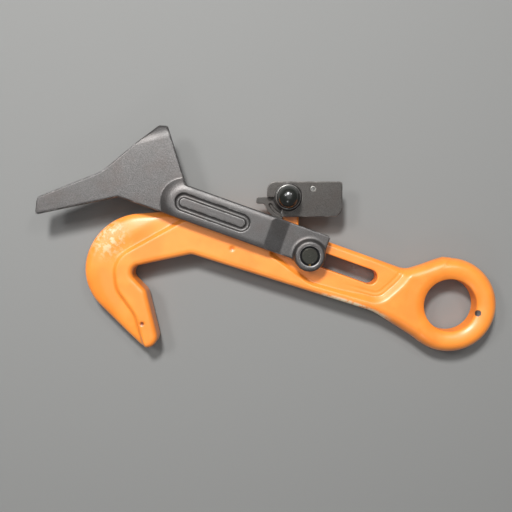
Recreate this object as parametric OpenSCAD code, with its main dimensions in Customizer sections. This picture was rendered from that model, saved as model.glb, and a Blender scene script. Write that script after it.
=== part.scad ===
// Beam clamp: a forged hook with a lifting eye, a sliding and swinging fish-tail arm, and a sprung
// stop plate turned by hand.
// Origin: centre of the lifting eye, on the forging's middle plane. +X runs along the shank, out past
// the eye, +Y to the shank's back edge, +Z to the side that carries the arm. Millimetres.

/* [Lifting eye] */
// Radius of the hole, at the flat land inside the eye
eye_bore_r = 25; // [22:0.5:28]
// Outer radius of the eye
eye_outer_r = 45; // [43:0.5:48]
// Thickness of the eye along its axis
eye_thick = 25; // [22:0.5:26]
// Length of the cylindrical land in the hole
eye_land = 17; // [4:0.5:19]

/* [Hook forging] */
// Thickness of the rim and of the thick part of the shank
rim_thick = 26; // [22:0.5:26]
// Thickness of the web over the hook's back
web_thick = 20; // [16:0.5:22]
// Thickness of the flat around the slot
slot_zone_thick = 18; // [14:0.5:18]
// Height of the shank's back edge above the slot's axis
shank_top = 18; // [14:0.2:18]

/* [Slot and pin] */
// Width of the slot
slot_w = 14; // [12:0.5:16]
// Distance from the eye to the pin when the arm is fully back
pin_x = 143.5; // [140:0.5:150]
// Travel of the pin along the slot
slot_travel = 61; // [40:1:61]
// Radius of the pin in the slot
pin_r = 5; // [4:0.25:5.5]
// Radius of the pin's journal in the arm
journal_r = 7.6; // [6.5:0.1:7.8]

/* [Clamp arm] */
// Height of the arm's under face above the middle plane
arm_z = 14; // [13.8:0.1:15]
// Thickness of the head and of the pin end
arm_thick = 8; // [7:0.5:9]
// Thickness of the raised middle length
arm_mid_thick = 13; // [11:0.5:14]
// Height of the arm's back edge above the slot's axis
arm_top = 23.3; // [20:0.1:24]
// Depth of the arm's front edge below the slot's axis
arm_low = 8; // [6:0.5:9]
// Radius of the boss around the pin
boss_r = 14.4; // [13:0.1:16]
// Depth of the groove round the raised panel
panel_groove = 2.2; // [1:0.2:3]

/* [Stop plate] */
// Place of the plate's pivot along the shank, from the eye
lock_x = 180; // [175:0.5:185]
// Height of the plate's pivot above the slot's axis
lock_y = 44.5; // [42:0.5:46]
// Angle of the plate to the shank at rest
lock_angle = 19.65; // [0:0.05:30]
// Length of the plate past its pivot
plate_len = 50.4; // [40:0.2:54]
// Thickness of the plate
plate_thick = 3.7; // [3:0.1:3.7]
// Radius of the ball knob
ball_r = 10; // [8:0.5:12]
// Distance that the knob pulls out
knob_pull = 5; // [3:0.5:5]

/* [Hidden] */
$fn = 96;
over = 1;                  // how far a cutter runs past the face it cuts
running = 0.05;            // radial clearance of a running fit
press = 0.01;              // radial gap drawn for a pressed fit
orange = [0.95, 0.36, 0.07];
blacking = [0.16, 0.16, 0.17];
steel = [0.62, 0.62, 0.64];
bronze = [0.68, 0.5, 0.24];
rim_z = rim_thick / 2;
web_z = web_thick / 2;
slot_z = slot_zone_thick / 2;
slot_r = slot_w / 2;
slot_far = pin_x - slot_travel - 1;      // eye to the centre of the slot's near end
slot_back = pin_x + 1;                   // eye to the centre of the slot's far end
arm_face = arm_z + arm_thick;
mid_face = arm_z + arm_mid_thick;
washer_t = 1.5;            // thickness of the rear washer
rear_ring_z = -slot_z - 2 * running - washer_t;    // upper face of the rear snap ring's groove
arm_seat = rim_z + 2 * running;           // under face of the arm's boss, clear of the rim
boss_face = mid_face + 1;
front_ring_z = boss_face - 2.2;           // upper face of the front snap ring's groove
arm_bore_r = journal_r + 1.6;
panel_x0 = -268.3;         // centres of the panel's round ends
panel_x1 = -213.3;
panel_y = (arm_top - arm_low) / 2;
lug_r = 10.5;
lug_low = -slot_z;
lug_high = 5;
lug_bore_r = 8.05;
hub_shank_r = 6.5;
hub_ring_z = lug_low - 1.05;              // upper face of the hub's snap ring groove
plate_seat_r = 13;
flange_r = plate_seat_r + 1.3;
index_high = lug_high + 3;
hub_low = index_high + 0.1;
flange_high = hub_low + 1.9;
hub_high = flange_high + plate_thick + 1.8;
collar_low = hub_high + 0.2;
collar_high = collar_low + 2.5;
collar_r = 11.4;
ball_z = collar_high + 7.8;
chamber_r = 5;             // the spring's chamber in the hub
chamber_roof = 6;
spring_closed = 6.7;       // length of the spring with its turns together
spring_low = chamber_roof - spring_closed - knob_pull;
stem_r = 3;
insert_r = 5;
index_pin_x = 8;
index_pin_r = 1.5;
rivet_at = [4.5, -14];     // rivets of the index plate, on each side of the lug's middle line
rivet_r = 2;
stop_pin_at = [23, 7.7];
stop_pin_r = 2.5;

function unit(v) = v / norm(v);
function left(v) = [-v[1], v[0]];
function flat(p) = [p[0], p[1]];

// The points of one corner [x, y, radius] between its neighbours a and b: an arc tangent to both sides
function corner(a, p, b) =
    p[2] == 0 ? [flat(p)] :
    let (
        u = unit(flat(a) - flat(p)),
        v = unit(flat(b) - flat(p)),
        half = acos(u * v) / 2,
        c = flat(p) + unit(u + v) * p[2] / sin(half),
        s = flat(p) + u * p[2] / tan(half) - c,
        e = flat(p) + v * p[2] / tan(half) - c,
        a0 = atan2(s[1], s[0]),
        turn = (atan2(e[1], e[0]) - a0 + 540) % 360 - 180,
        steps = max(2, ceil(abs(turn) / 9))
    )
    [for (i = [0:steps]) c + p[2] * [cos(a0 + turn * i / steps), sin(a0 + turn * i / steps)]];

// An outline of corners [x, y, radius], as points
function outline(p) =
    let (n = len(p))
    [for (i = [0:n - 1]) each corner(p[(i + n - 1) % n], p[i], p[(i + 1) % n])];

// The same outline moved inwards by d
function inset(p, d) =
    let (n = len(p))
    [for (i = [0:n - 1])
        let (
            a = left(unit(p[i] - p[(i + n - 1) % n])),
            b = left(unit(p[(i + 1) % n] - p[i]))
        )
        p[i] + (a + b) * d / (1 + a * b)];

module plate_of(points, low, high) {
    translate([0, 0, low]) linear_extrude(high - low) polygon(points);
}

module disc(r, low, high) {
    translate([0, 0, low]) cylinder(r = r, h = high - low);
}

module ring(r, bore, low, high) {
    difference() {
        disc(r, low, high);
        disc(bore, low - over, high + over);
    }
}

// A slot-shaped prism between two points on a line along X
module long_hole(x0, x1, y, r, low, high) {
    translate([x0, y, 0]) disc(r, low, high);
    translate([x1, y, 0]) disc(r, low, high);
    translate([x0, y - r, low]) cube([x1 - x0, 2 * r, high - low]);
}

module at_pin() {
    translate([-pin_x, 0, 0]) children();
}

module at_lock() {
    translate([-lock_x, lock_y, 0]) rotate(lock_angle) children();
}

module rivets(r, low, high) {
    for (side = [-1, 1]) translate([side * rivet_at[0], rivet_at[1], 0]) disc(r, low, high);
}

// Hook and shank, from the front edge of the shank round the neck, the back and the tip
hook_line = outline([
    [-247.5, -36.2, 9], [-68, -29.7, 45], [-14, -42.1, 0],
    [-14, 42.5, 0], [-21, 41.3, 0], [-50.5, shank_top, 22], [-226, shank_top, 90],
    [-341, -31.5, 55], [-341, -98.6, 47], [-233.2, -150.6, 10.5],
    [-276.5, -83, 10], [-302.7, -70.2, 7.5]
]);

// Where the hook's back is thinned to a web: everything outside the rib along the throat
web_line = outline([
    [-252, -146, 0], [-277, -108, 30], [-302, -90, 20], [-314, -66, 22], [-250, 6, 40],
    [-232, 30, 0], [-360, 30, 0], [-360, -146, 0]
]);

// The flat around the slot, open to the shank's back edge
slot_zone_line = outline([
    [-178, 30, 0], [-178, -11.5, 3], [-133, -25.2, 25], [-64, -20.5, 18], [-47, 10, 60], [-46, 30, 0]
]);

module hook_slab(step_in, high) {
    difference() {
        plate_of(inset(hook_line, step_in), -high, high);
        disc(eye_outer_r - 10, -high - over, high + over);
    }
}

module eye_ring() {
    band = (eye_outer_r - eye_bore_r) / 2;
    half = eye_thick / 2;
    inner = band / sqrt(1 - pow(eye_land / eye_thick, 2));
    rotate_extrude() intersection() {
        polygon([for (a = [0:7.5:352.5])
            [eye_bore_r + band + (cos(a) > 0 ? band : inner) * cos(a), half * sin(a)]]);
        translate([eye_bore_r, -half - over]) square([2 * band + over, eye_thick + 2 * over]);
    }
}

module lug() {
    at_lock() {
        disc(lug_r, lug_low, lug_high);
        plate_of(outline([[-lug_r - 7, -31, 0], [lug_r + 5, -31, 0], [lug_r, -22, 6], [lug_r, 0, 0],
            [-lug_r, 0, 0], [-lug_r, -21, 8]]), lug_low, lug_high);
    }
}

module hook_body() {
    color(orange) difference() {
        union() {
            difference() {
                union() {
                    hook_slab(0, rim_z - 4.5);
                    hook_slab(1, rim_z - 2.5);
                    hook_slab(2.2, rim_z - 1);
                    hook_slab(3.6, rim_z);
                }
                for (side = [0, 1]) mirror([0, 0, side]) {
                    plate_of(web_line, web_z, rim_z + over);
                    plate_of(slot_zone_line, slot_z, rim_z + over);
                }
            }
            eye_ring();
            lug();
        }
        long_hole(-slot_back, -slot_far, 0, slot_r, -rim_z - over, rim_z + over);
        at_lock() {
            disc(lug_bore_r, lug_low - over, lug_high + over);
            rivets(rivet_r, -4, lug_high + over);
        }
    }
}

module lug_bush() {
    color(bronze) at_lock()
        ring(lug_bore_r - press, hub_shank_r + running, lug_low, lug_high);
}

// Index plate: a round body, a tab that the stop pin meets, and a curved guard on its lower side
module index_plate() {
    guard_r = 23;
    guard_wide = 3.8;
    web_thick = 1.4;
    color(blacking) at_lock() difference() {
        union() {
            disc(16, lug_high, index_high);
            intersection() {
                union() {
                    ring(guard_r, guard_r - guard_wide, lug_high, index_high);
                    ring(guard_r - 1, 15, lug_high, lug_high + web_thick);
                }
                plate_of([[0, 0], [-40, 0], [-40, -50], [-13, -50]], lug_high, index_high);
            }
            translate([-20.5, -5.9, lug_high]) cube([10, 6.2, 3]);
            plate_of(outline([[-19, -5.9, 0], [-19, 0.3, 0], [-29.9, 0.3, 2.2], [-29.9, -5.9, 2.2]]),
                lug_high, index_high);
        }
        disc(hub_shank_r + running, lug_high - over, index_high + over);
        rivets(rivet_r, lug_high - over, index_high + over);
        for (a = [0:60:300]) rotate(a) translate([index_pin_x + 2.5, 0, index_high])
            rotate_extrude() polygon([[0, -0.8], [1.2, 0], [1.2, over], [0, over]]);
    }
}

module index_rivets() {
    color(steel) at_lock() rivets(rivet_r - press, -4, index_high);
}

module slot_pin() {
    color(blacking) at_pin() difference() {
        union() {
            disc(pin_r, rear_ring_z - 2.1, arm_seat);
            disc(journal_r - running, arm_seat, boss_face - 1);
        }
        ring(pin_r + over, pin_r - 0.5, rear_ring_z - 1.2, rear_ring_z);
        ring(journal_r + over, journal_r - 0.7, front_ring_z - 1.2, front_ring_z);
    }
}

module slot_bush() {
    color(bronze) at_pin() ring(slot_r - running, pin_r + press, -slot_z + 0.1, slot_z - 0.1);
}

module front_thrust_washer() {
    color(steel) at_pin() ring(13.5, pin_r + press, slot_z + running, rim_z);
}

module rear_washer() {
    color(steel) at_pin() ring(12.5, pin_r + press, -slot_z - running - washer_t, -slot_z - running);
}

// A split ring of the kind that is sprung into a groove
module snap_ring(r, bore, low, high, gap) {
    difference() {
        ring(r, bore, low, high);
        translate([0, -gap / 2, low - over]) cube([r + over, gap, high - low + 2 * over]);
    }
}

module rear_snap_ring() {
    color(steel) at_pin()
        snap_ring(pin_r + 2.3, pin_r - 0.45, rear_ring_z - 1.15, rear_ring_z - 0.05, 3);
}

module front_snap_ring() {
    color(steel) at_pin() rotate(-70)
        snap_ring(arm_bore_r - 0.1, journal_r - 0.65, front_ring_z - 1.15, front_ring_z - 0.05, 2);
}

arm_line = outline([
    [-327.5, -arm_low, 2], [-131, -arm_low, 6], [-131, arm_top, 1.5], [-272.5, arm_top, 4],
    [-306.5, 68.6, 2], [-314.5, 66.5, 3], [-349.5, 8.5, 30], [-397.8, -33.5, 5], [-394.3, -49, 1.5]
]);

// The raised middle length: a round, tapered end by the head and a ramp by the pin
module raised_length() {
    foot_r = panel_y + arm_low + 5.9;
    top_r = panel_y + arm_low;
    fall = (foot_r - top_r) / (mid_face - arm_face);
    translate([0, arm_top, 0]) rotate([90, 0, 0]) linear_extrude(arm_top + arm_low)
        polygon([[panel_x0, arm_face - over], [panel_x0, mid_face], [-187, mid_face],
            [-170.5, arm_face], [-170.5, arm_face - over]]);
    intersection() {
        plate_of(arm_line, arm_z, mid_face + over);
        translate([panel_x0, panel_y, arm_face - over])
            cylinder(r1 = foot_r + fall * over, r2 = top_r, h = mid_face - arm_face + over);
    }
}

module clamp_arm() {
    color(blacking) difference() {
        union() {
            plate_of(arm_line, arm_z, arm_face - 1.5);
            plate_of(inset(arm_line, 1), arm_face - 1.5, arm_face);
            raised_length();
            at_pin() {
                disc(boss_r, arm_seat + running, boss_face - 1.2);
                disc(boss_r - 1.4, boss_face - 1.2, boss_face);
                translate([0, 0, arm_face]) cylinder(r1 = boss_r + 4.5, r2 = boss_r, h = 2.5);
            }
        }
        at_pin() disc(arm_bore_r, arm_seat - over, boss_face + over);
        difference() {
            long_hole(panel_x0, panel_x1, panel_y, 7.8, mid_face - panel_groove, mid_face + over);
            long_hole(panel_x0, panel_x1, panel_y, 4.4, mid_face - panel_groove - over, mid_face + 2 * over);
        }
        // bevel on the end of the upper prong
        translate([-313, 58.5, arm_face]) rotate([0, 0, 34.6]) rotate([-28, 0, 0])
            translate([-20, 0, 0]) cube([40, 20, 20]);
    }
}

module arm_bush() {
    color(bronze) at_pin()
        ring(arm_bore_r - press, journal_r, arm_seat + running, front_ring_z - 1.25);
}

// Turned hub: flange, seat for the plate, and a hollow shank through the lug
module lock_hub() {
    color(blacking) at_lock() difference() {
        union() {
            disc(hub_shank_r, lug_low - 2.7, hub_low);
            disc(flange_r, hub_low, flange_high);
            disc(plate_seat_r, flange_high, hub_high - 0.8);
            disc(plate_seat_r - 0.8, hub_high - 0.8, hub_high);
        }
        disc(stem_r + running, lug_low - 4, hub_high + over);
        disc(chamber_r, lug_low - 4, chamber_roof);
        translate([index_pin_x, 0, 0]) disc(index_pin_r + 2 * running, hub_low - over, hub_high + over);
        ring(hub_shank_r + over, hub_shank_r - 0.5, hub_ring_z - 1.05, hub_ring_z);
    }
}

module lock_plate() {
    color(blacking) at_lock() difference() {
        plate_of(outline([
            [-19.7, 0, 1], [-6, 0, 0], [-6, -18.4, 1.5], [plate_len, -18.4, 9], [plate_len, 14.5, 2.5],
            [-19.7, 14.5, 8]
        ]), flange_high, flange_high + plate_thick);
        disc(plate_seat_r + press, flange_high - over, flange_high + plate_thick + over);
        translate(stop_pin_at) disc(stop_pin_r, flange_high - over, flange_high + plate_thick + over);
    }
}

module stop_pin() {
    color(steel) at_lock() translate(stop_pin_at) rotate(40)
        snap_ring(stop_pin_r - press, 1.2, lug_high + 0.5, flange_high + plate_thick + 0.25, 0.6);
}

module hub_washer() {
    color(steel) at_lock() ring(9.8, hub_shank_r + running, lug_low - 1, lug_low - running);
}

module hub_snap_ring() {
    color(steel) at_lock() rotate(70)
        snap_ring(hub_shank_r + 1.9, hub_shank_r - 0.45, hub_ring_z - 1, hub_ring_z - 0.05, 2.5);
}

module plunger() {
    color(steel) at_lock() difference() {
        disc(stem_r, spring_low - 2.7, ball_z);
        ring(stem_r + over, stem_r - 0.5, spring_low - 1.9, spring_low - 1.1);
    }
}

// Coil spring round the plunger, as a stack of turns
module plunger_spring() {
    turns = 7;
    wire_r = 0.45;
    pitch = (chamber_roof - 0.05 - spring_low - 2 * wire_r) / (turns - 1);
    color(steel) at_lock() for (i = [0:turns - 1]) translate([0, 0, spring_low + wire_r + i * pitch])
        rotate_extrude() translate([chamber_r - wire_r - 0.15, 0]) circle(r = wire_r, $fn = 16);
}

module plunger_washer() {
    color(steel) at_lock() ring(chamber_r - 0.1, stem_r + press, spring_low - 1, spring_low - 0.05);
}

module plunger_clip() {
    color(steel) at_lock()
        snap_ring(stem_r + 1.4, stem_r - 0.45, spring_low - 1.85, spring_low - 1.15, 1.5);
}

module knob_collar() {
    color(steel) at_lock() difference() {
        union() {
            disc(collar_r, collar_low, collar_high - 0.6);
            disc(collar_r - 0.5, collar_high - 0.6, collar_high);
        }
        disc(stem_r + press, collar_low - over, collar_high + over);
        translate([index_pin_x, 0, 0]) disc(index_pin_r, collar_low - over, collar_high + over);
    }
}

module index_pin() {
    color(steel) at_lock() translate([index_pin_x, 0, 0])
        disc(index_pin_r - press, index_high + 0.15, collar_high);
}

module knob_insert() {
    color(bronze) at_lock() ring(insert_r, stem_r + press, collar_high + 0.05, ball_z + 1);
}

module ball_knob() {
    color([0.03, 0.03, 0.03]) at_lock() difference() {
        translate([0, 0, ball_z]) sphere(r = ball_r);
        disc(ball_r + over, ball_z - ball_r - over, collar_high + 0.05);
        disc(insert_r + press, collar_high - over, ball_z + 1);
    }
}

hook_body();
lug_bush();
index_plate();
index_rivets();
slot_pin();
slot_bush();
front_thrust_washer();
rear_washer();
rear_snap_ring();
front_snap_ring();
clamp_arm();
arm_bush();
lock_hub();
lock_plate();
stop_pin();
hub_washer();
hub_snap_ring();
plunger();
plunger_spring();
plunger_washer();
plunger_clip();
knob_collar();
index_pin();
knob_insert();
ball_knob();
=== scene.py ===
import math

import bpy
import numpy as np
from mathutils import Matrix, Vector


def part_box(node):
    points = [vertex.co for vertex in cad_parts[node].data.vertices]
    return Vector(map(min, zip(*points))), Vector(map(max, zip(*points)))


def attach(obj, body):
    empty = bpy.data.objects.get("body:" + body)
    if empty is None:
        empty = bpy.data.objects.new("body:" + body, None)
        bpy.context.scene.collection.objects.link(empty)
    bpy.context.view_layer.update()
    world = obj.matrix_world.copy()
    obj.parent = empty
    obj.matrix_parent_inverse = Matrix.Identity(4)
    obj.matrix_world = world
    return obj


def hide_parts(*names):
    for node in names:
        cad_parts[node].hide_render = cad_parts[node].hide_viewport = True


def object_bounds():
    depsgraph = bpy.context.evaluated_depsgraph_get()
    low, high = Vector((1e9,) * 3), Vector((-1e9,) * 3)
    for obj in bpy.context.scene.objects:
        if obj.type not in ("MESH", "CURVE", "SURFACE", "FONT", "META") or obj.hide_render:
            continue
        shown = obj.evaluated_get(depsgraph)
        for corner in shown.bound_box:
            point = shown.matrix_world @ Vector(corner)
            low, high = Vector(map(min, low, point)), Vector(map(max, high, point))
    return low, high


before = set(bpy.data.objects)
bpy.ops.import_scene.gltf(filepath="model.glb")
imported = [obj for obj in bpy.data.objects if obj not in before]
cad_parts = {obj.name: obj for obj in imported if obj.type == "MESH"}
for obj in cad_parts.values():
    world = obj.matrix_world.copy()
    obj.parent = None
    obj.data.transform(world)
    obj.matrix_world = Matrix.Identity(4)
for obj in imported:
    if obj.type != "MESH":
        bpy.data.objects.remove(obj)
cad_low, cad_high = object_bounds()
scene = bpy.context.scene

# ---------------------------------------------------------------------------
# The studio: a grey floor that the clamp lies on, soft lamps overhead, and the
# camera looking down on the clamp, turned so that the shank falls to the right.
# ---------------------------------------------------------------------------
shank_fall = math.radians(19.65)
view_right = Vector((math.cos(shank_fall), math.sin(shank_fall), 0))
view_up = Vector((-math.sin(shank_fall), math.cos(shank_fall), 0))
camera_height = 0.600
view_width = 0.489
clamp_middle = (-0.18, 0.03)


def seen_at(right, up, height=0.0):
    """A place in the frame, from its distances right of and above the eye's centre as seen."""
    return view_right * right + view_up * up + Vector((0, 0, height))


camera_data = bpy.data.cameras.new("camera")
camera_data.sensor_width = 36
camera_data.lens = camera_data.sensor_width * camera_height / view_width
camera_data.clip_start = 0.01
camera = bpy.data.objects.new("camera", camera_data)
scene.collection.objects.link(camera)
stands_over = seen_at(-0.1845, 0.0859, camera_height)
looks_at = seen_at(-0.1845, 0.0467)
back = (stands_over - looks_at).normalized()
right = view_up.cross(back).normalized()
camera.matrix_world = Matrix((
    (*right, 0), (*back.cross(right), 0), (*back, 0), (0, 0, 0, 1))).transposed()
camera.location = stands_over
scene.camera = camera


def lamp(name, right, up, height, size, power):
    """A round soft lamp, placed as seen from the clamp's middle, and turned to face it."""
    data = bpy.data.lights.new(name, "AREA")
    data.shape = "DISK"
    data.size = size
    data.energy = power
    made = bpy.data.objects.new(name, data)
    scene.collection.objects.link(made)
    middle = seen_at(*clamp_middle)
    made.location = middle + seen_at(right, up, height)
    made.rotation_euler = (made.location - middle).to_track_quat("Z", "Y").to_euler()


lamp("top_lamp", 0.0, 0.10, 1.30, 1.30, 3)
lamp("key_lamp", -0.25, 0.95, 1.35, 0.30, 30)
lamp("side_lamp", -0.90, 0.55, 1.30, 0.36, 7)
lamp("second_lamp", 0.60, 0.85, 1.40, 0.30, 4)
lamp("low_lamp", -0.35, -1.20, 0.90, 0.30, 1.5)
world = bpy.data.worlds.new("studio")
world.use_nodes = True
world.node_tree.nodes["Background"].inputs["Color"].default_value = (0.84, 0.87, 0.92, 1)
world.node_tree.nodes["Background"].inputs["Strength"].default_value = 0.16
scene.world = world
scene.view_settings.view_transform = "Standard"

floor_reach = 4.0
floor_gap = 0.0002
floor_z = cad_low.z - floor_gap
floor_data = bpy.data.meshes.new("floor")
floor_data.from_pydata(
    [(x * floor_reach, y * floor_reach, floor_z) for x, y in ((-1, -1), (1, -1), (1, 1), (-1, 1))],
    [], [(0, 1, 2, 3)])
floor = bpy.data.objects.new("floor", floor_data)
scene.collection.objects.link(floor)
floor_paint = bpy.data.materials.new("grey_floor")
floor_paint.use_nodes = True
floor_shader = floor_paint.node_tree.nodes["Principled BSDF"]
floor_shader.inputs["Base Color"].default_value = (0.22, 0.22, 0.213, 1)
floor_shader.inputs["Roughness"].default_value = 0.85
floor_data.materials.append(floor_paint)

# ---------------------------------------------------------------------------
# The hook: one forging in thick orange enamel, with a rib along the throat, a
# thinner crowned back, a flat round the slot, the eye, and the stop plate's lug.
# ---------------------------------------------------------------------------
mm = 0.001


def mesh_object(name, points, *faces):
    """A smooth mesh object from points in millimetres and arrays of three- or four-sided faces."""
    data = bpy.data.meshes.new(name)
    listed = [face for kind in faces for face in kind.tolist()]
    data.from_pydata((np.asarray(points) * mm).tolist(), [], listed)
    data.validate()
    data.polygons.foreach_set("use_smooth", [True] * len(data.polygons))
    data.update()
    made = bpy.data.objects.new(name, data)
    scene.collection.objects.link(made)
    return made


def skin(field, low, high, cell):
    """The surface where field(points) is zero. The field is sampled on a grid of cubes. Each cube that
    the surface crosses gets one point, the mean of the crossings on its twelve edges, which is then
    moved onto the surface along the field's slope. Each grid edge that the surface crosses gets one
    four-sided face between the points of its four cubes. Returns points and faces."""
    axes = [np.arange(lo - 2 * cell, hi + 3 * cell, cell) for lo, hi in zip(low, high)]
    shape = tuple(len(a) for a in axes)
    grid = np.stack(np.meshgrid(*axes, indexing="ij"), -1)
    value = field(grid.reshape(-1, 3)).reshape(shape)
    inside = value < 0
    cubes = tuple(n - 1 for n in shape)
    total = np.zeros(cubes + (3,))
    count = np.zeros(cubes)
    crossings = []
    for axis in range(3):
        a = [slice(None)] * 3
        b = [slice(None)] * 3
        a[axis] = slice(0, -1)
        b[axis] = slice(1, None)
        va, vb = value[tuple(a)], value[tuple(b)]
        crossed = inside[tuple(a)] != inside[tuple(b)]
        share = np.where(crossed, va / np.where(crossed, va - vb, 1), 0)
        point = grid[tuple(a)] + share[..., None] * cell * np.eye(3)[axis]
        crossings.append((crossed, inside[tuple(a)]))
        others = [i for i in range(3) if i != axis]
        for da in (0, 1):
            for db in (0, 1):
                pick = [slice(None)] * 3
                pick[others[0]] = slice(da, shape[others[0]] - 1 + da)
                pick[others[1]] = slice(db, shape[others[1]] - 1 + db)
                hit = crossed[tuple(pick)]
                total += np.where(hit[..., None], point[tuple(pick)], 0)
                count += hit
    used = count > 0
    number = np.full(cubes, -1)
    number[used] = np.arange(used.sum())
    points = total[used] / count[used][:, None]
    faces = []
    for axis, (crossed, starts_inside) in enumerate(crossings):
        u, v = [(1, 2), (2, 0), (0, 1)][axis]
        where = np.argwhere(crossed)
        keep = (where[:, u] > 0) & (where[:, v] > 0) & (where[:, u] < cubes[u]) & (where[:, v] < cubes[v])
        where = where[keep]
        ring = []
        for du, dv in ((-1, -1), (0, -1), (0, 0), (-1, 0)):
            near = where.copy()
            near[:, u] += du
            near[:, v] += dv
            ring.append(number[tuple(near.T)])
        ring = np.stack(ring, 1)
        outward = starts_inside[tuple(where.T)]
        faces.append(np.where(outward[:, None], ring, ring[:, ::-1]))
    step = cell * 0.05
    for _ in range(4):
        here = field(points)
        slope = np.stack([(field(points + step * d) - field(points - step * d)) / (2 * step)
                          for d in np.eye(3)], 1)
        size = np.maximum((slope ** 2).sum(1), 0.05)
        move = -(here / size)[:, None] * slope
        length = np.linalg.norm(move, axis=1, keepdims=True)
        points = points + move * np.minimum(1, 0.5 * cell / np.maximum(length, 1e-9))
    return points, np.concatenate(faces)


def outline(corners, step=6.0):
    """A closed outline from corners (x, y, radius): each corner is an arc tangent to both its sides."""
    corners = np.array(corners, float)
    rows = []
    for i in range(len(corners)):
        p, r = corners[i, :2], corners[i, 2]
        if r == 0:
            rows.append(p[None])
            continue
        u = corners[i - 1, :2] - p
        v = corners[(i + 1) % len(corners), :2] - p
        u, v = u / np.linalg.norm(u), v / np.linalg.norm(v)
        half = math.acos(np.clip(u @ v, -1, 1)) / 2
        middle = p + (u + v) / np.linalg.norm(u + v) * r / math.sin(half)
        start = p + u * r / math.tan(half) - middle
        end = p + v * r / math.tan(half) - middle
        a0 = math.atan2(start[1], start[0])
        turn = (math.atan2(end[1], end[0]) - a0 + 3 * math.pi) % (2 * math.pi) - math.pi
        a = a0 + turn * np.linspace(0, 1, max(3, int(abs(math.degrees(turn)) / step) + 1))
        rows.append(middle + r * np.stack((np.cos(a), np.sin(a)), 1))
    return np.concatenate(rows)


def outside_of(line, x, y):
    """Signed distance from points to a closed outline: negative inside, positive outside."""
    nearest = np.full(x.shape, 1e9)
    odd = np.zeros(x.shape, bool)
    for (ax, ay), (bx, by) in zip(line, np.roll(line, -1, 0)):
        ex, ey = bx - ax, by - ay
        wx, wy = x - ax, y - ay
        t = np.clip((wx * ex + wy * ey) / (ex * ex + ey * ey + 1e-12), 0, 1)
        nearest = np.minimum(nearest, (wx - ex * t) ** 2 + (wy - ey * t) ** 2)
        crosses = (ay > y) != (by > y)
        odd ^= crosses & (wx < ex * wy / np.where(ey == 0, 1e-12, ey))
    return np.where(odd, -1, 1) * np.sqrt(nearest)


def looked_up(line, cell=0.5, margin=8.0):
    """The distance to an outline as a table over a flat grid, read off between its cells."""
    xs = np.arange(line[:, 0].min() - margin, line[:, 0].max() + margin, cell)
    ys = np.arange(line[:, 1].min() - margin, line[:, 1].max() + margin, cell)
    table = outside_of(line, *np.meshgrid(xs, ys, indexing="ij"))

    def read(x, y):
        """The distance at places x, y: a weighted mean of the table's four nearest entries."""
        i = np.clip((x - xs[0]) / cell, 0, len(xs) - 1.001)
        j = np.clip((y - ys[0]) / cell, 0, len(ys) - 1.001)
        i0, j0 = i.astype(int), j.astype(int)
        fi, fj = i - i0, j - j0
        return ((table[i0, j0] * (1 - fi) + table[i0 + 1, j0] * fi) * (1 - fj)
                + (table[i0, j0 + 1] * (1 - fi) + table[i0 + 1, j0 + 1] * fi) * fj)
    return read


def blend_in(a, b, size):
    """The union of two fields, with a fillet of about that size where they meet: the smaller of the
    two, less size * h * (1 - h), where h goes from 0 to 1 as b - a goes from -size to size."""
    h = np.clip(0.5 + 0.5 * (b - a) / size, 0, 1)
    return b + (a - b) * h - size * h * (1 - h)


def cut_out(a, b, size):
    """Field a less field b, with an edge rounded by about that size: the union's formula, inside out."""
    return -blend_in(-a, b, size)


def rounded_slab(across, over, wide, tall=None):
    """A slab from its distance outside its outline and its distance over its faces. Its edge is a
    quarter ellipse, hypot(a, b) = 1, where a and b are 0 at the ellipse's centre, which is wide inside
    the outline and tall inside the face, and 1 at the outline and the face."""
    tall = wide if tall is None else tall
    a, b = across / wide + 1, over / tall + 1
    shape = np.hypot(np.maximum(a, 0), np.maximum(b, 0)) - 1 + np.minimum(np.maximum(a, b), 0)
    return shape * np.minimum(wide, tall)


def beyond(z, low, high):
    """How far z is outside the span from low to high: negative inside it."""
    return np.abs(z - (low + high) / 2) - (high - low) / 2


def soft_step(x, low, high):
    """0 below low, 1 above high, and 3 t^2 - 2 t^3 between them."""
    t = np.clip((x - low) / (high - low), 0, 1)
    return t * t * (3 - 2 * t)


rim_half, web_half, slot_flat_half = 13.0, 8.9, 9.0
shank_back = 18.0
eye_bore, eye_rim, eye_half, eye_land = 25.0, 45.0, 12.5, 8.5
slot_ends, slot_half = (-144.5, -81.5), 7.0
lock_at = (-180.0, 44.5)
lug_half, lug_bore, lug_low, lug_high = 10.5, 8.05, -9.0, 5.0
hook_edge = 5.2
dimple_at, pit_at = (-213.2, -18.3), (-269.5, -113.9)
from_hook = looked_up(outline([
    (-247.5, -36.2, 9), (-68, -29.7, 45), (-14, -42.1, 0), (-14, 42.5, 0), (-21, 41.3, 0),
    (-50.5, shank_back, 22), (-226, shank_back, 90), (-341, -31.5, 55), (-341, -98.6, 47),
    (-233.2, -150.6, 10.5), (-276.5, -83, 10), (-302.7, -70.2, 7.5)]), margin=50)
from_back = looked_up(outline([
    (-252, -146, 0), (-277, -108, 30), (-302, -90, 20), (-314, -66, 22), (-250, 6, 40),
    (-232, 30, 0), (-360, 30, 0), (-360, -146, 0)]), margin=20)
from_slot_flat = looked_up(outline([
    (-178, 30, 0), (-178, -11.5, 3), (-133, -25.2, 25), (-64, -20.5, 18), (-47, 10, 60), (-46, 30, 0)]),
    margin=20)


def lock_frame(x, y):
    """Places in the stop plate's own axes, along and across it, from its pivot."""
    dx, dy = x - lock_at[0], y - lock_at[1]
    c, s = math.cos(shank_fall), math.sin(shank_fall)
    return dx * c + dy * s, dy * c - dx * s


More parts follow.
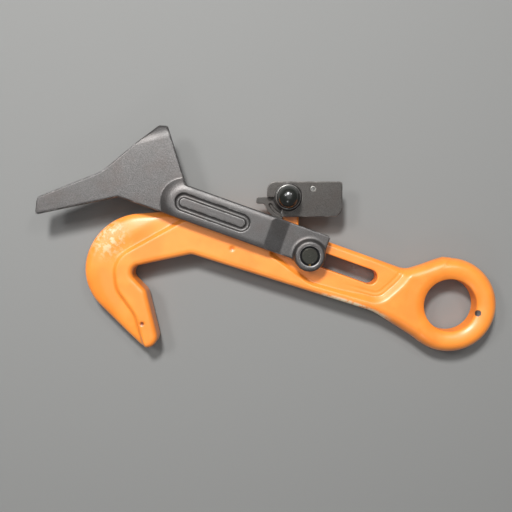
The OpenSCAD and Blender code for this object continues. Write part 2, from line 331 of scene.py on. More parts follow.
def hook_field(p):
    """The forging. Its half thickness is the rib's, let down over a soft flank to the crowned back,
    which falls by the square of the way out to its edge, and to the flat round the slot, where two
    shallow cosine ripples follow the step by the neck. Its edges are ellipses, which grow into the eye's full
    round section. The lug, slot and bores are worked in."""
    x, y, z = p.T
    radius = np.hypot(x, y)
    across = blend_in(from_hook(x, y), radius - eye_rim, 2.0)
    by_eye = soft_step(x, -80, -34)
    back = soft_step(-from_back(x, y), -0.6, 3.8)
    swell = soft_step(-from_back(x, y), 3, 17)
    fall = np.clip(1 + across / 22, 0, 1) ** 2
    crowned = web_half + 1.5 * swell - 3.6 * fall
    half = rim_half - (rim_half - eye_half) * by_eye
    half = half - back * (rim_half - crowned)
    inside = -from_slot_flat(x, y)
    near_neck = soft_step(x, -112, -72)
    half = half - (rim_half - slot_flat_half) * soft_step(inside / (1 + 1.1 * near_neck), -1.4, 2.6)
    ripples = near_neck * soft_step(inside, 3, 5) * soft_step(-inside, -13, -9)
    half = half - 0.22 * (1 + np.cos(inside * math.tau / 4.2)) * ripples
    solid = rounded_slab(across, np.abs(z) - half, hook_edge + 4.8 * by_eye + 1.5 * back,
                         hook_edge + (eye_half - hook_edge) * by_eye - 1.4 * back)
    band = (eye_rim - eye_bore) / 2
    inner = band / math.sqrt(1 - (eye_land / eye_half) ** 2)
    hollow = (np.hypot(np.maximum(eye_bore + band - radius, 0) / inner, z / eye_half) - 1) * band
    solid = np.where(radius < eye_rim - 1, np.maximum(solid, hollow), solid)
    solid = cut_out(solid, radius - eye_bore, 0.6)
    along, up = lock_frame(x, y)
    post = np.maximum(np.abs(along) - lug_half, np.maximum(up, -31 - up))
    lug = np.minimum(post, np.hypot(along, up) - lug_half)
    solid = blend_in(solid, rounded_slab(lug, beyond(z, lug_low, lug_high), 1.6), 4.5)
    solid = cut_out(solid, np.hypot(x - np.clip(x, *slot_ends), y) - slot_half, 1.2)
    solid = cut_out(solid, np.hypot(along, up) - lug_bore, 0.5)
    for mark_at, ball, centre_z in ((dimple_at, 3.9, 15.8), (pit_at, 2.4, 14.0)):
        mark = np.sqrt((x - mark_at[0]) ** 2 + (y - mark_at[1]) ** 2 + (z - centre_z) ** 2) - ball
        solid = cut_out(solid, mark, 0.5)
    return np.maximum(solid, np.abs(z) - rim_half)


def cad_corners(node):
    """A node's lowest and highest corners, in millimetres."""
    return [np.array(corner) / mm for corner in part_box(node)]


hook = mesh_object("forged_hook", *skin(hook_field, *cad_corners("hook_body"), 1.15))
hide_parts("hook_body")
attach(hook, "hook")


def shader_group(name, inputs, outputs):
    """A shader node group with float inputs {name: default} and outputs {name: socket type}."""
    group = bpy.data.node_groups.new(name, "ShaderNodeTree")
    for label, value in inputs.items():
        socket = group.interface.new_socket(label, in_out="INPUT", socket_type="NodeSocketFloat")
        socket.default_value = value
    for label, kind in outputs.items():
        group.interface.new_socket(label, in_out="OUTPUT", socket_type=kind)
    return group, group.nodes.new("NodeGroupInput"), group.nodes.new("NodeGroupOutput")


def feed(tree, socket, value):
    """Sets a socket to a number or a colour, or links another socket to it."""
    if isinstance(value, bpy.types.NodeSocket):
        tree.links.new(value, socket)
    elif isinstance(value, tuple) and len(value) == 3 and socket.type == "RGBA":
        socket.default_value = (*value, 1)
    else:
        socket.default_value = value


def noise(tree, place, scale, detail=2.0, roughness=0.5):
    """A 3-D noise of the given scale, in repeats a metre."""
    made = tree.nodes.new("ShaderNodeTexNoise")
    made.inputs["Detail"].default_value = detail
    made.inputs["Roughness"].default_value = roughness
    feed(tree, made.inputs["Scale"], scale)
    feed(tree, made.inputs["Vector"], place)
    return made.outputs["Fac"]


def spread(tree, value, low, high, to_low=0.0, to_high=1.0):
    """Maps value smoothly from [low, high] to [to_low, to_high]."""
    made = tree.nodes.new("ShaderNodeMapRange")
    made.interpolation_type = "SMOOTHSTEP"
    for socket, number in zip(made.inputs[:5], (value, low, high, to_low, to_high)):
        feed(tree, socket, number)
    return made.outputs["Result"]


def arithmetic(tree, operation, a, b=0.0):
    """The result of one operation on two numbers or sockets."""
    made = tree.nodes.new("ShaderNodeMath")
    made.operation = operation
    feed(tree, made.inputs[0], a)
    feed(tree, made.inputs[1], b)
    return made.outputs["Value"]


def bump(tree, height, strength, distance, normal=None):
    """A normal turned by the slope of a height, over another normal if one is given."""
    made = tree.nodes.new("ShaderNodeBump")
    made.inputs["Distance"].default_value = distance
    feed(tree, made.inputs["Strength"], strength)
    feed(tree, made.inputs["Height"], height)
    if normal is not None:
        feed(tree, made.inputs["Normal"], normal)
    return made.outputs["Normal"]


def mix_colour(tree, mask, a, b):
    """Colour a where the mask is 0 and b where it is 1."""
    made = tree.nodes.new("ShaderNodeMix")
    made.data_type = "RGBA"
    feed(tree, made.inputs["Factor"], mask)
    feed(tree, made.inputs[6], a)
    feed(tree, made.inputs[7], b)
    return made.outputs[2]


def near_spot(tree, place, centre, size):
    """1 at a place given in millimetres, falling to 0 at that distance from it, in millimetres."""
    made = tree.nodes.new("ShaderNodeVectorMath")
    made.operation = "DISTANCE"
    feed(tree, made.inputs[0], place)
    made.inputs[1].default_value = tuple(c * mm for c in centre)
    return spread(tree, made.outputs["Value"], 0.0, size * mm, 1.0, 0.0)


def build_grain_group():
    """Fine blasted or cast grain over long, low swells."""
    group, enter, leave = shader_group(
        "surface_grain",
        {"Grain scale": 1800.0, "Grain depth": 0.3, "Swell scale": 60.0, "Swell depth": 0.2},
        {"Grain": "NodeSocketFloat", "Swell": "NodeSocketFloat", "Normal": "NodeSocketVector"})
    place = group.nodes.new("ShaderNodeTexCoord").outputs["Object"]
    grain = noise(group, place, enter.outputs["Grain scale"], 3.0, 0.6)
    swell = noise(group, place, enter.outputs["Swell scale"], 2.0, 0.5)
    low = bump(group, swell, enter.outputs["Swell depth"], 0.002)
    both = bump(group, grain, enter.outputs["Grain depth"], 0.0003, low)
    group.links.new(grain, leave.inputs["Grain"])
    group.links.new(swell, leave.inputs["Swell"])
    group.links.new(both, leave.inputs["Normal"])
    return group


def build_wear_and_hollow_group():
    """Two masks from pointiness. Wear is 1 on sharp outer edges, broken up by noise: rubbed corners, and on
    blackened pieces also a painted edge highlight. Hollow is 1 in hollows, for painted shade.
    """
    group, enter, leave = shader_group(
        "edge_wear_and_hollows", {"Breakup scale": 300.0, "Low": 0.53, "High": 0.58},
        {"Wear": "NodeSocketFloat", "Hollow": "NodeSocketFloat"})
    place = group.nodes.new("ShaderNodeTexCoord").outputs["Object"]
    pointed = group.nodes.new("ShaderNodeNewGeometry").outputs["Pointiness"]
    broken = noise(group, place, enter.outputs["Breakup scale"], 4.0, 0.65)
    ragged = arithmetic(group, "MULTIPLY", arithmetic(group, "SUBTRACT", broken, 0.5), 0.08)
    worn = arithmetic(group, "ADD", pointed, ragged)
    worn = spread(group, worn, enter.outputs["Low"], enter.outputs["High"])
    group.links.new(worn, leave.inputs["Wear"])
    group.links.new(spread(group, pointed, 0.40, 0.49, 1.0, 0.0), leave.inputs["Hollow"])
    return group


grain_group = build_grain_group()
wear_and_hollow_group = build_wear_and_hollow_group()


def new_finish(name):
    """A node material. Returns the material, its tree, its Principled shader and object coordinates."""
    made = bpy.data.materials.new(name)
    made.use_nodes = True
    tree = made.node_tree
    return made, tree, tree.nodes["Principled BSDF"], tree.nodes.new("ShaderNodeTexCoord").outputs["Object"]


def place_group(tree, group, **values):
    """Puts a shader group in a material, with its own input values, and returns its outputs."""
    made = tree.nodes.new("ShaderNodeGroup")
    made.node_tree = group
    for label, value in values.items():
        made.inputs[label.replace("_", " ")].default_value = value
    return made.outputs


def orange_enamel():
    """Thick orange enamel over a rough forging: long swells, an orange-peel skin, and painted shade,
    a deeper, redder colour, in the hollows, the dimple and the pit. The hook's back has a pale,
    blotchy painted glare over a pitted patch, the shank's lower edge a pale painted glare in a
    streak, and the eye a chip and the neck dark scuffs, down to the iron. The wall of the eye's hole
    is duller than the rest."""
    made, tree, shader, place = new_finish("orange_enamel")
    surface = place_group(tree, grain_group, Grain_scale=650.0, Grain_depth=0.16,
                          Swell_scale=38.0, Swell_depth=0.42)
    wear = place_group(tree, wear_and_hollow_group, Breakup_scale=220.0, Low=0.60, High=0.66)
    mottle = spread(tree, surface["Swell"], 0.35, 0.65)
    paint = mix_colour(tree, mottle, (0.88, 0.250, 0.026), (0.94, 0.292, 0.036))
    speck = spread(tree, noise(tree, place, 420.0, 3.0, 0.6), 0.60, 0.75)
    paint = mix_colour(tree, arithmetic(tree, "MULTIPLY", speck, 0.25), paint, (0.80, 0.165, 0.015))
    # Painted shade: a deeper, redder orange in the hollows.
    paint = mix_colour(tree, wear["Hollow"], paint, (0.68, 0.085, 0.006))
    # Painted shade: darker in the dimple and near-black in the pit.
    dimple = near_spot(tree, place, (*dimple_at, 11.5), 4.5)
    pit = near_spot(tree, place, (*pit_at, 11.5), 3.6)
    paint = mix_colour(tree, arithmetic(tree, "MULTIPLY", dimple, 0.45), paint, (0.42, 0.045, 0.005))
    paint = mix_colour(tree, pit, paint, (0.08, 0.012, 0.004))
    # Painted glare: pale blotches on the hook's back, over a patch that also gets a stronger pitted bump.
    glare_and_peel_patch = near_spot(tree, place, (-327, -48, 8), 27)
    pitted = noise(tree, place, 260.0, 3.0, 0.6)
    painted_glare_blotches = arithmetic(tree, "MULTIPLY", glare_and_peel_patch, spread(tree, pitted, 0.45, 0.57))
    paint = mix_colour(tree, arithmetic(tree, "MULTIPLY", painted_glare_blotches, 0.8), paint, (0.80, 0.58, 0.36))
    # Painted glare: a pale streak along the shank's lower edge.
    squeezed = tree.nodes.new("ShaderNodeVectorMath")
    squeezed.operation = "MULTIPLY"
    tree.links.new(place, squeezed.inputs[0])
    squeeze = (0.14, 1.0, 0.3)
    squeezed.inputs[1].default_value = squeeze
    painted_edge_glare = near_spot(tree, squeezed.outputs["Vector"], (-88 * squeeze[0], -31.5, 1), 8)
    painted_edge_glare = arithmetic(tree, "MULTIPLY", spread(tree, painted_edge_glare, 0.1, 0.5), spread(tree, pitted, 0.36, 0.50))
    paint = mix_colour(tree, arithmetic(tree, "MULTIPLY", painted_edge_glare, 0.9), paint, (0.85, 0.74, 0.50))
    ragged = noise(tree, place, 900.0, 4.0, 0.7)
    chip = near_spot(tree, place, (27.0, 2.0, 9.0), 7.5)
    scuff = near_spot(tree, place, (-50.5, -33.0, 6), 15)
    chipped = arithmetic(tree, "ADD", chip, arithmetic(tree, "MULTIPLY", ragged, 0.5))
    scuffed = arithmetic(tree, "MULTIPLY", spread(tree, wear["Wear"], 0.05, 0.5),
                         spread(tree, arithmetic(tree, "ADD", scuff, ragged), 0.95, 1.1))
    bare = arithmetic(tree, "MAXIMUM", spread(tree, chipped, 0.80, 0.90), scuffed)
    colour = mix_colour(tree, bare, paint, (0.035, 0.028, 0.026))
    normal = bump(tree, pitted, arithmetic(tree, "MULTIPLY", glare_and_peel_patch, 0.55), 0.0012, surface["Normal"])
    wall = spread(tree, near_spot(tree, place, (0, 0, 0), 36), 0.13, 0.19)
    tree.links.new(spread(tree, wall, 0.0, 1.0, 0.6, 0.1), shader.inputs["Coat Weight"])
    tree.links.new(spread(tree, wall, 0.0, 1.0, 0.42, 0.65), shader.inputs["Roughness"])
    shader.inputs["Coat Roughness"].default_value = 0.32
    tree.links.new(colour, shader.inputs["Base Color"])
    tree.links.new(normal, shader.inputs["Normal"])
    return made


hook.data.materials.append(orange_enamel())

# ---------------------------------------------------------------------------
# The lug's bush: machined bearing bronze, pressed into the lug, with fine lathe
# marks round it. It keeps the design's own shape.
# ---------------------------------------------------------------------------


def build_lathe_group():
    """The fine rings that a lathe leaves: noise that depends only on the distance from the piece's own
    axis and the height along it, so it makes circles on a face and hoops on a side."""
    group, enter, leave = shader_group(
        "lathe_marks", {"Axis x": 0.0, "Axis y": 0.0, "Pitch": 2600.0, "Depth": 0.25},
        {"Marks": "NodeSocketFloat", "Radius": "NodeSocketFloat", "Normal": "NodeSocketVector"})
    place = group.nodes.new("ShaderNodeTexCoord").outputs["Object"]
    parts = group.nodes.new("ShaderNodeSeparateXYZ")
    group.links.new(place, parts.inputs["Vector"])
    along = arithmetic(group, "SUBTRACT", parts.outputs["X"], enter.outputs["Axis x"])
    across = arithmetic(group, "SUBTRACT", parts.outputs["Y"], enter.outputs["Axis y"])
    squares = [arithmetic(group, "MULTIPLY", side, side) for side in (along, across)]
    radius = arithmetic(group, "SQRT", arithmetic(group, "ADD", *squares))
    turned_place = group.nodes.new("ShaderNodeCombineXYZ")
    group.links.new(radius, turned_place.inputs["X"])
    group.links.new(parts.outputs["Z"], turned_place.inputs["Z"])
    marks = noise(group, turned_place.outputs["Vector"], enter.outputs["Pitch"], 3.0, 0.65)
    group.links.new(marks, leave.inputs["Marks"])
    group.links.new(radius, leave.inputs["Radius"])
    group.links.new(bump(group, marks, enter.outputs["Depth"], 0.0002), leave.inputs["Normal"])
    return group


lathe_group = build_lathe_group()


def turned_metal(name, tone, axis, roughness, metallic=1.0, depth=0.25, edge=1.6, painted_shade_within=0.0):
    """Turned metal: lathe rings about an axis, patches of tarnish, and brighter rubbed edges. Nearer the
    axis than a radius in millimetres it may be painted near-black, as painted shade in a hole or under
    another part."""
    made, tree, shader, place = new_finish(name)
    lathe = place_group(tree, lathe_group, Axis_x=axis[0] * mm, Axis_y=axis[1] * mm, Depth=depth)
    wear = place_group(tree, wear_and_hollow_group, Breakup_scale=700.0, Low=0.54, High=0.64)
    tarnish = spread(tree, noise(tree, place, 240.0, 3.0, 0.6), 0.35, 0.70)
    colour = mix_colour(tree, tarnish, tone, tuple(c * 0.72 for c in tone))
    colour = mix_colour(tree, wear["Wear"], colour, tuple(min(1.0, c * edge) for c in tone))
    # Painted shade: near-black nearer the axis than the given radius.
    bright = spread(tree, lathe["Radius"], (painted_shade_within - 0.25) * mm, painted_shade_within * mm)
    colour = mix_colour(tree, bright, tuple(c * 0.06 for c in tone), colour)
    shader.inputs["Metallic"].default_value = metallic
    tree.links.new(colour, shader.inputs["Base Color"])
    tree.links.new(spread(tree, lathe["Marks"], 0.3, 0.7, roughness - 0.06, roughness + 0.08),
                   shader.inputs["Roughness"])
    tree.links.new(lathe["Normal"], shader.inputs["Normal"])
    return made


def finish_nodes(material, *nodes):
    """Gives the design's own pieces a finish."""
    for node in nodes:
        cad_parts[node].data.materials.clear()
        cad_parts[node].data.materials.append(material)


bronze_tone = (0.54, 0.34, 0.14)
finish_nodes(turned_metal("lug_bronze", bronze_tone, lock_at, 0.30), "lug_bush")

# ---------------------------------------------------------------------------
# The index plate under the stop plate: blackened steel, with a tab that the stop
# pin meets, a curved guard, and dimples for the index pin. Two bright rivets hold it.
# ---------------------------------------------------------------------------
index_low, index_high = lug_high, lug_high + 3
index_r, index_flat, guard_web = 16.0, 14.2, 1.4
guard_in, guard_out = 19.2, 23.0
rivet_at, rivet_r = (4.5, -14.0), 2.0


def index_plate_field(p):
    """A disc with a flat at its back, a curved guard and a tab, joined in plan with small fillets and
    given rounded edges, and a thinner web between the disc and the guard, less the hub's hole, the
    rivets' holes and six small round dimples."""
    along, up = lock_frame(p[:, 0], p[:, 1])
    z = p[:, 2]
    radius = np.hypot(along, up)
    sector = np.maximum(up, (50 * along - 13 * up) / math.hypot(50, 13))
    guard = np.maximum(beyond(radius, guard_in, guard_out), sector)
    bar = rounded_slab(np.abs(along + 20.2) - 9.7, np.abs(up + 2.8) - 3.1, 2.2)
    disc = np.maximum(radius - index_r, up - index_flat)
    plan = blend_in(blend_in(disc, guard, 1.0), bar, 2.0)
    solid = rounded_slab(plan, beyond(z, index_low, index_high), 0.5)
    web = np.maximum(beyond(radius, index_r - 1, guard_out - 1), sector)
    solid = np.minimum(solid, np.maximum(web, beyond(z, index_low, index_low + guard_web)))
    solid = cut_out(solid, radius - 6.55, 0.2)
    rivets = np.hypot(np.abs(along) - rivet_at[0], up - rivet_at[1]) - rivet_r
    solid = cut_out(solid, rivets, 0.2)
    turn = np.mod(np.arctan2(up, along) + math.pi / 6, math.pi / 3) - math.pi / 6
    out, aside = radius * np.cos(turn) - 10.5, radius * np.sin(turn)
    dimple = np.sqrt(out ** 2 + aside ** 2 + (z - index_high - 0.5) ** 2) - 1.3
    return cut_out(solid, dimple, 0.15)


def blackened(name, tone, roughness, grain_depth, grain_scale, speckle, rub_and_highlight_from=0.52):
    """Blackened iron or steel: dark, with a metal's sheen, a fine speckled grain, warmer patches,
    edges paler where they are sharper than a given pointiness, partly rubbed wear and partly painted
    highlight, and painted shade, darker, in the hollows."""
    made, tree, shader, place = new_finish(name)
    surface = place_group(tree, grain_group, Grain_scale=grain_scale, Grain_depth=grain_depth,
                          Swell_scale=70.0, Swell_depth=0.04)
    wear = place_group(tree, wear_and_hollow_group, Breakup_scale=160.0, Low=rub_and_highlight_from, High=rub_and_highlight_from + 0.035)
    dark = tuple(c * (1 - speckle) for c in tone)
    pale = tuple(c * (1 + speckle) for c in tone)
    body = mix_colour(tree, spread(tree, surface["Grain"], 0.32, 0.68), dark, pale)
    warm = spread(tree, noise(tree, place, 55.0, 3.0, 0.6), 0.40, 0.75)
    rusty = (tone[0] * 0.95, tone[1] * 0.82, tone[2] * 0.78)
    body = mix_colour(tree, arithmetic(tree, "MULTIPLY", warm, 0.4), body, rusty)
    # Paler sharp edges: partly rubbed wear, partly a painted edge highlight.
    body = mix_colour(tree, wear["Wear"], body, tuple(min(1.0, c * 2.8) for c in tone))
    # Painted shade: darker in the hollows.
    painted_hollow_shade = tuple(c * 0.25 for c in tone)
    body = mix_colour(tree, arithmetic(tree, "MULTIPLY", wear["Hollow"], 0.75), body, painted_hollow_shade)
    tree.links.new(body, shader.inputs["Base Color"])
    tree.links.new(spread(tree, wear["Wear"], 0.0, 1.0, 0.86, 0.35), shader.inputs["Metallic"])
    tree.links.new(spread(tree, surface["Swell"], 0.3, 0.7, roughness - 0.03, roughness + 0.05),
                   shader.inputs["Roughness"])
    tree.links.new(surface["Normal"], shader.inputs["Normal"])
    return made


index_plate = mesh_object("stop_index_plate", *skin(index_plate_field, *cad_corners("index_plate"), 0.42))
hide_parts("index_plate")
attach(index_plate, "hook")
plate_black = blackened("black_plate_finish", (0.076, 0.071, 0.066), 0.45, 0.40, 1500.0, 0.28)
index_plate.data.materials.append(plate_black)
lock_steel = turned_metal("lock_steel", (0.50, 0.50, 0.50), lock_at, 0.30)
finish_nodes(lock_steel, "index_rivets")

# ---------------------------------------------------------------------------
# The slot pin and all that is on it: a turned, blackened pin with a bronze bush in
# the slot, a thick thrust washer in front, a thin one behind, and two snap rings.
# ---------------------------------------------------------------------------


def held_flat(line, hold=0.12, longest=1.2):
    """The same closed outline with a point added near each end of every straight, so that smooth
    shading leaves the straights flat, and then every straight cut into equal parts no longer than
    longest. The added points are hold along, or a third of a short straight."""
    ahead = np.roll(line, -1, 0) - line
    share = np.minimum(hold / np.hypot(*ahead.T), 1 / 3)[:, None]
    line = np.stack((line, line + ahead * share, line + ahead * (1 - share)), 1).reshape(-1, 2)
    ahead = np.roll(line, -1, 0) - line
    parts = np.maximum(np.ceil(np.hypot(*ahead.T) / longest), 1).astype(int)
    straight = np.repeat(np.arange(len(line)), parts)
    within = (np.arange(len(straight)) - np.repeat(np.cumsum(parts) - parts, parts)) / parts[straight]
    return line[straight] + ahead[straight] * within[:, None]


def turned(name, at, corners, gap=0.0, facing=0.0, stations=112):
    """A turned piece: the closed section r(s), z(s) through corners (r, z, radius), given anticlockwise,
    carried round the axis at that place: x = r cos t, y = r sin t. A split ring leaves out a gap of
    that many degrees, which faces a direction, and its two ends are closed. A section that
    touches the axis is closed there by a triangle fan."""
    section = held_flat(outline(corners, 15.0))
    on_axis = section[:, 0] < 1e-6
    if on_axis.any():
        section = np.roll(section, -(np.flatnonzero(on_axis)[-1] + 1), 0)
        section = section[section[:, 0] >= 1e-6]
        ends = (min(c[1] for c in corners if c[0] == 0), max(c[1] for c in corners if c[0] == 0))
    rows = len(section)
    closed = gap == 0
    share = np.arange(stations) / (stations if closed else stations - 1)
    t = np.radians(facing + gap / 2 + (360 - gap) * share)
    r, z = section.T
    points = np.stack((at[0] + r[:, None] * np.cos(t), at[1] + r[:, None] * np.sin(t),
                       np.broadcast_to(z[:, None], (rows, stations))), -1).reshape(-1, 3)
    number = np.arange(rows * stations).reshape(rows, stations)
    over = np.roll(number, -1, 0) if not on_axis.any() else number[1:]
    under = number if not on_axis.any() else number[:-1]
    this, following = (slice(None), np.roll(np.arange(stations), -1)) if closed else \
        (slice(0, -1), np.arange(1, stations))
    quads = np.stack((under[:, this], under[:, following], over[:, following], over[:, this]), -1)
    quads = quads.reshape(-1, 4)
    extra = []
    if on_axis.any():
        points = np.concatenate((points, [(at[0], at[1], ends[0]), (at[0], at[1], ends[1])]))
        low_ring, high_ring = number[0], number[-1]
        low_pole = np.full(stations, len(points) - 2)
        high_pole = np.full(stations, len(points) - 1)
        extra = [np.stack((low_pole, np.roll(low_ring, -1), low_ring), -1),
                 np.stack((high_pole, high_ring, np.roll(high_ring, -1)), -1)]
    elif not closed:
        extra = [number[::-1, 0][None], number[:, -1][None]]
    return mesh_object(name, points, quads, *extra)


def fit(piece, body, slot, material, *nodes):
    """Fixes a finished piece to its body, in place of the design's plain one."""
    piece.data.materials.append(material)
    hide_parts(*nodes)
    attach(piece, body)


pin_at = (-143.5, 0.0)
boss_face = 28.0
front_ring_top, rear_ring_top = boss_face - 2.2, -10.6
pin_r, journal_r, shoulder_z = 5.0, 7.55, 13.1


def hoop(inner, outer, low, high, edge):
    """The section of a ring or washer: a rectangle with equal rounded corners."""
    return [(inner, low, edge), (outer, low, edge), (outer, high, edge), (inner, high, edge)]


bevel = 0.35
pin_black = blackened("pin_blackened", (0.045, 0.045, 0.038), 0.44, 0.40, 1800.0, 0.25, 0.58)
ring_black = turned_metal("ring_blackened", (0.012, 0.012, 0.013), pin_at, 0.38, 0.8, 0.2, 1.6)
pin_steel = turned_metal("washer_steel", (0.50, 0.50, 0.50), pin_at, 0.32)

fit(turned("stepped_pin", pin_at, [
    (0, rear_ring_top - 2.1, 0), (pin_r, rear_ring_top - 2.1, 0.6), (pin_r, rear_ring_top - 1.2, 0.1),
    (pin_r - 0.5, rear_ring_top - 1.2, 0.1), (pin_r - 0.5, rear_ring_top, 0.1), (pin_r, rear_ring_top, 0.1),
    (pin_r, shoulder_z, 0.2), (journal_r, shoulder_z, 0.3), (journal_r, front_ring_top - 1.2, 0.1),
    (journal_r - 0.65, front_ring_top - 1.2, 0.1), (journal_r - 0.65, front_ring_top, 0.1),
    (journal_r, front_ring_top, 0.1), (journal_r, boss_face - 1, 0.7), (0, boss_face - 1, 0)]),
    "slider", "dark_pin", pin_black, "slot_pin")
fit(turned("slot_bush_ring", pin_at, hoop(5.01, 6.95, -8.9, 8.9, bevel)),
    "slider", "bronze", turned_metal("slot_bronze", bronze_tone, pin_at, 0.30), "slot_bush")
fit(turned("thrust_washer", pin_at, hoop(5.01, 13.5, 9.05, 13.0, bevel)),
    "slider", "bright_steel", pin_steel, "front_thrust_washer")
fit(turned("back_washer", pin_at, hoop(5.01, 12.5, -10.55, -9.05, bevel)),
    "slider", "bright_steel", pin_steel, "rear_washer")
fit(turned("back_snap_ring", pin_at,
           hoop(4.55, 7.3, rear_ring_top - 1.15, rear_ring_top - 0.05, 0.2), gap=28),
    "slider", "spring_steel", ring_black, "rear_snap_ring")
fit(turned("front_snap_ring_split", pin_at,
           hoop(6.95, 9.1, front_ring_top - 1.15, front_ring_top - 0.05, 0.2), gap=14, facing=-70),
    "slider", "spring_steel", ring_black, "front_snap_ring")

# ---------------------------------------------------------------------------
# The clamp arm: one casting, blackened, with a fish-tail head, a raised length
# with a sunk panel, a ramp down to the pin end, and a boss with a bronze bush.
# ---------------------------------------------------------------------------
arm_under, arm_face, arm_mid_face = 14.0, 22.0, 27.0
arm_back, arm_front = 23.3, -8.0
panel_ends, panel_y = (-268.3, -213.3), 7.65
groove_at, groove_r = 6.1, 2.6
boss_r, arm_bore = 14.4, 9.2
from_arm = looked_up(outline([
    (-327.5, arm_front, 2), (-131, arm_front, 6), (-131, arm_back, 1.5), (-272.5, arm_back, 4),
    (-306.5, 68.6, 2), (-314.5, 66.5, 3), (-349.5, 8.5, 30), (-397.8, -33.5, 5), (-394.3, -49, 1.5)]))


def ramp(t, ease):
    """t held between 0 and 1, with both corners eased."""
    return -blend_in(-blend_in(t, 1.0, ease), 0.0, ease)


def arm_field(p):
    """The casting. Its upper face rises over a round, tapered end by the head and falls down a ramp by
    the pin. Its edges are rounded. The boss, the bore, the round-bottomed groove about the panel and
    the bevel on the upper prong are worked into it."""
    x, y, z = p.T
    across = from_arm(x, y)
    by_head = ramp((22.4 - np.hypot(np.minimum(x - panel_ends[0], 0), y - panel_y)) / 12.0, 0.06)
    by_head = np.sin(np.pi / 2 * by_head)
    by_pin = ramp((-170.5 - x) / 16.5, 0.05)
    face = arm_face + (arm_mid_face - arm_face) * np.minimum(by_head, by_pin)
    body = rounded_slab(across, beyond(z, arm_under, face), 1.3)
    tilt, slope = math.radians(34.6), math.radians(30)
    past_bevel = (x + 312) * -math.sin(tilt) + (y - 57) * math.cos(tilt)
    body = cut_out(body, -((z - arm_face) * math.cos(slope) + past_bevel * math.sin(slope)), 2.4)
    radius = np.hypot(x - pin_at[0], y - pin_at[1])
    boss = rounded_slab(radius - boss_r, beyond(z, shoulder_z, boss_face), 2.8, 3.4)
    body = blend_in(body, boss, 4.2)
    body = cut_out(body, radius - arm_bore, 0.5)
    panel = np.hypot(x - np.clip(x, *panel_ends), y - panel_y)
    groove = np.hypot((panel - groove_at) / 0.9, z - arm_mid_face - 0.2) - groove_r
    body = cut_out(body, groove, 0.8)
    return np.maximum(body, arm_under - z - 0.85 * (radius < 17))


arm_black = blackened("blackened_casting", (0.118, 0.113, 0.110), 0.45, 0.55, 1300.0, 0.22)
fit(mesh_object("fish_tail_arm", *skin(arm_field, *cad_corners("clamp_arm"), 0.72)),
    "arm", "black_casting", arm_black, "clamp_arm")
fit(turned("arm_bush_ring", pin_at, hoop(7.6, 9.19, 13.15, 24.5, bevel)),
    "arm", "bronze", turned_metal("arm_bronze", bronze_tone, pin_at, 0.30), "arm_bush")

# ---------------------------------------------------------------------------
# The stop plate: a blackened steel plate pressed on a turned hub that goes through
# the lug, held behind by a washer and a snap ring, with a rolled spring pin in it.
# ---------------------------------------------------------------------------
hub_shank, hub_low, hub_high = 6.5, -11.7, 15.5
flange_r, flange_low, flange_high = 14.3, 8.1, 10.0
plate_low, plate_high, plate_seat = 10.0, 13.7, 13.0
stem_hole, chamber_r, chamber_roof = 3.05, 5.0, 6.0
index_pin_out = 8.0
stop_pin_at, stop_pin_r = (23.0, 7.7), 2.5
from_plate = looked_up(outline([
    (-19.7, 0, 1), (-6, 0, 0), (-6, -18.4, 1.5), (50.4, -18.4, 9), (50.4, 14.5, 2.5),
    (-19.7, 14.5, 8)]), 0.25)


def from_lock(along, up):
    """A place in the frame, from a place in the stop plate's own axes: lock_frame the other way."""
    c, s = math.cos(shank_fall), math.sin(shank_fall)
    return lock_at[0] + along * c - up * s, lock_at[1] + along * s + up * c


def hub_field(p):
    """The hub: a shank, a flange, the plate's seat and a smaller top, each a disc with rounded edges,
    less the stem's hole, the spring's chamber, the index pin's hole and the snap ring's groove."""
    along, up = lock_frame(p[:, 0], p[:, 1])
    z = p[:, 2]
    radius = np.hypot(along, up)
    shank = rounded_slab(radius - hub_shank, beyond(z, hub_low, flange_low + 1), 0.5)
    flange = rounded_slab(radius - flange_r, beyond(z, flange_low, flange_high), 0.4)
    seat = rounded_slab(radius - plate_seat, beyond(z, flange_low + 0.8, hub_high - 0.8), 0.3)
    top = rounded_slab(radius - 12.2, beyond(z, flange_high - 0.5, hub_high), 0.5)
    solid = np.minimum(np.minimum(shank, flange), np.minimum(seat, top))
    solid = cut_out(solid, radius - stem_hole, 0.2)
    solid = cut_out(solid, np.maximum(radius - chamber_r, z - chamber_roof), 0.3)
    solid = cut_out(solid, np.hypot(along - index_pin_out, up) - 1.6, 0.15)
    return cut_out(solid, np.maximum(6.0 - radius, beyond(z, -11.1, -10.0)), 0.15)


def plate_field(p):
    """The plate: its outline with rounded edges, less the hub's seat and the spring pin's hole."""
    along, up = lock_frame(p[:, 0], p[:, 1])
    solid = rounded_slab(from_plate(along, up), beyond(p[:, 2], plate_low, plate_high), 0.6)
    solid = cut_out(solid, np.hypot(along, up) - plate_seat - 0.01, 0.2)
    return cut_out(solid, np.hypot(along - stop_pin_at[0], up - stop_pin_at[1]) - stop_pin_r, 0.2)


lock_black = blackened("hub_blackened", (0.045, 0.042, 0.040), 0.42, 0.15, 2200.0, 0.15)
fit(mesh_object("turned_hub", *skin(hub_field, *cad_corners("lock_hub"), 0.42)),
    "lock", "dark_pin", lock_black, "lock_hub")
fit(mesh_object("stop_plate", *skin(plate_field, *cad_corners("lock_plate"), 0.5)),
    "lock", "black_plate", plate_black, "lock_plate")
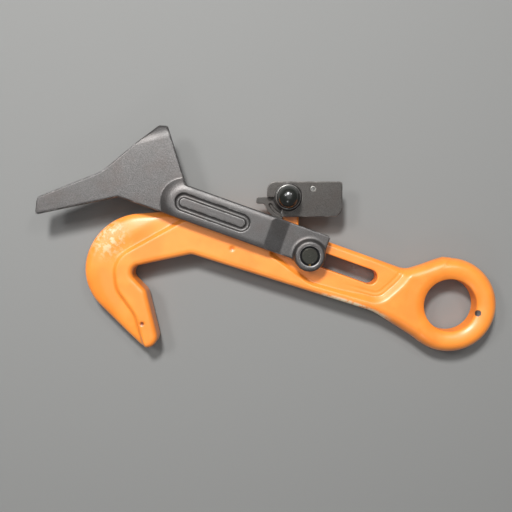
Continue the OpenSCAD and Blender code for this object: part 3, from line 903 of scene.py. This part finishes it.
# Painted shade: the roll pin's bore and its top face inside 1.75 mm are painted near-black, as shade in the
# hole.
roll_pin_steel = turned_metal("roll_pin_steel", (0.48, 0.47, 0.44), from_lock(*stop_pin_at), 0.38,
                              painted_shade_within=1.75)
stop_pin_out = stop_pin_r - 0.01
fit(turned("rolled_spring_pin", from_lock(*stop_pin_at), [
    (1.2, 5.5, 0.3), (stop_pin_out, 5.5, 0.3), (stop_pin_out, 13.95, 0.45), (1.2, 13.95, 0.2)],
    gap=18, facing=60, stations=48), "lock", "bright_steel", roll_pin_steel, "stop_pin")
fit(turned("hub_back_washer", lock_at, hoop(6.55, 9.8, -10.0, -9.05, 0.25)),
    "lock", "bright_steel", lock_steel, "hub_washer")
lock_ring_black = turned_metal("lock_ring_blackened", (0.025, 0.025, 0.027), lock_at, 0.38, 0.9, 0.2, 1.8)
fit(turned("hub_back_ring", lock_at, hoop(6.05, 8.4, -11.05, -10.1, 0.2), gap=22, facing=90),
    "lock", "spring_steel", lock_ring_black, "hub_snap_ring")

# ---------------------------------------------------------------------------
# The knob: a polished black ball moulded on a brass insert, screwed on a plunger.
# Under it a turned collar of bright steel carries the index pin; its face under the ball
# is painted near-black, painted shade, out to its rim. The spring, washer and clip are inside
# the hub and keep the design's own shapes.
# ---------------------------------------------------------------------------
ball_z, ball_r, ball_flat = 26.0, 10.0, 18.25
collar_low, collar_high, collar_r = 15.7, 18.2, 11.4


def collar_field(p):
    """The collar: a disc with rounded edges, less the plunger's and the index pin's holes."""
    along, up = lock_frame(p[:, 0], p[:, 1])
    radius = np.hypot(along, up)
    solid = rounded_slab(radius - collar_r, beyond(p[:, 2], collar_low, collar_high), 0.5)
    solid = cut_out(solid, radius - 3.01, 0.15)
    return cut_out(solid, np.hypot(along - index_pin_out, up) - 1.5, 0.15)


def polished_knob():
    """Moulded black resin, polished, with a hint of orange peel and a few fine scratches."""
    made, tree, shader, place = new_finish("polished_black_knob")
    swell = noise(tree, place, 160.0, 2.0, 0.5)
    scratched = tree.nodes.new("ShaderNodeMapping")
    scratched.inputs["Scale"].default_value = (200.0, 3500.0, 900.0)
    scratched.inputs["Rotation"].default_value = (0.4, 0.3, 0.7)
    tree.links.new(place, scratched.inputs["Vector"])
    lines = spread(tree, noise(tree, scratched.outputs["Vector"], 1.0, 3.0, 0.7), 0.62, 0.72)
    shader.inputs["Coat Weight"].default_value = 0.8
    shader.inputs["Coat Roughness"].default_value = 0.21
    tree.links.new(mix_colour(tree, swell, (0.006, 0.0065, 0.005), (0.011, 0.012, 0.009)),
                   shader.inputs["Base Color"])
    tree.links.new(spread(tree, lines, 0.0, 1.0, 0.24, 0.40), shader.inputs["Roughness"])
    tree.links.new(bump(tree, swell, 0.12, 0.0006), shader.inputs["Normal"])
    return made


# Painted shade: the collar's face is near-black inside its rim, under the ball.
lock_bright = turned_metal("collar_steel", (0.56, 0.55, 0.52), lock_at, 0.36, 1.0, 0.3,
                           painted_shade_within=collar_r - 0.3)
fit(mesh_object("bright_collar", *skin(collar_field, *cad_corners("knob_collar"), 0.42)),
    "knob", "bright_steel", lock_bright, "knob_collar")
flat_r = math.sqrt(ball_r ** 2 - (ball_z - ball_flat) ** 2)
low_angle = math.atan2(ball_flat - ball_z, flat_r)
ball_side = [(ball_r * math.cos(a), ball_z + ball_r * math.sin(a), 0)
             for a in np.linspace(low_angle, math.pi / 2, 40)[:-1]]
fit(turned("polished_ball", lock_at, [(0, ball_flat, 0), *ball_side, (0, ball_z + ball_r, 0)]),
    "knob", "black_knob", polished_knob(), "ball_knob")
finish_nodes(lock_steel, "plunger", "plunger_washer", "index_pin")
finish_nodes(lock_ring_black, "plunger_spring", "plunger_clip")
finish_nodes(turned_metal("insert_brass", (0.66, 0.48, 0.18), lock_at, 0.28), "knob_insert")
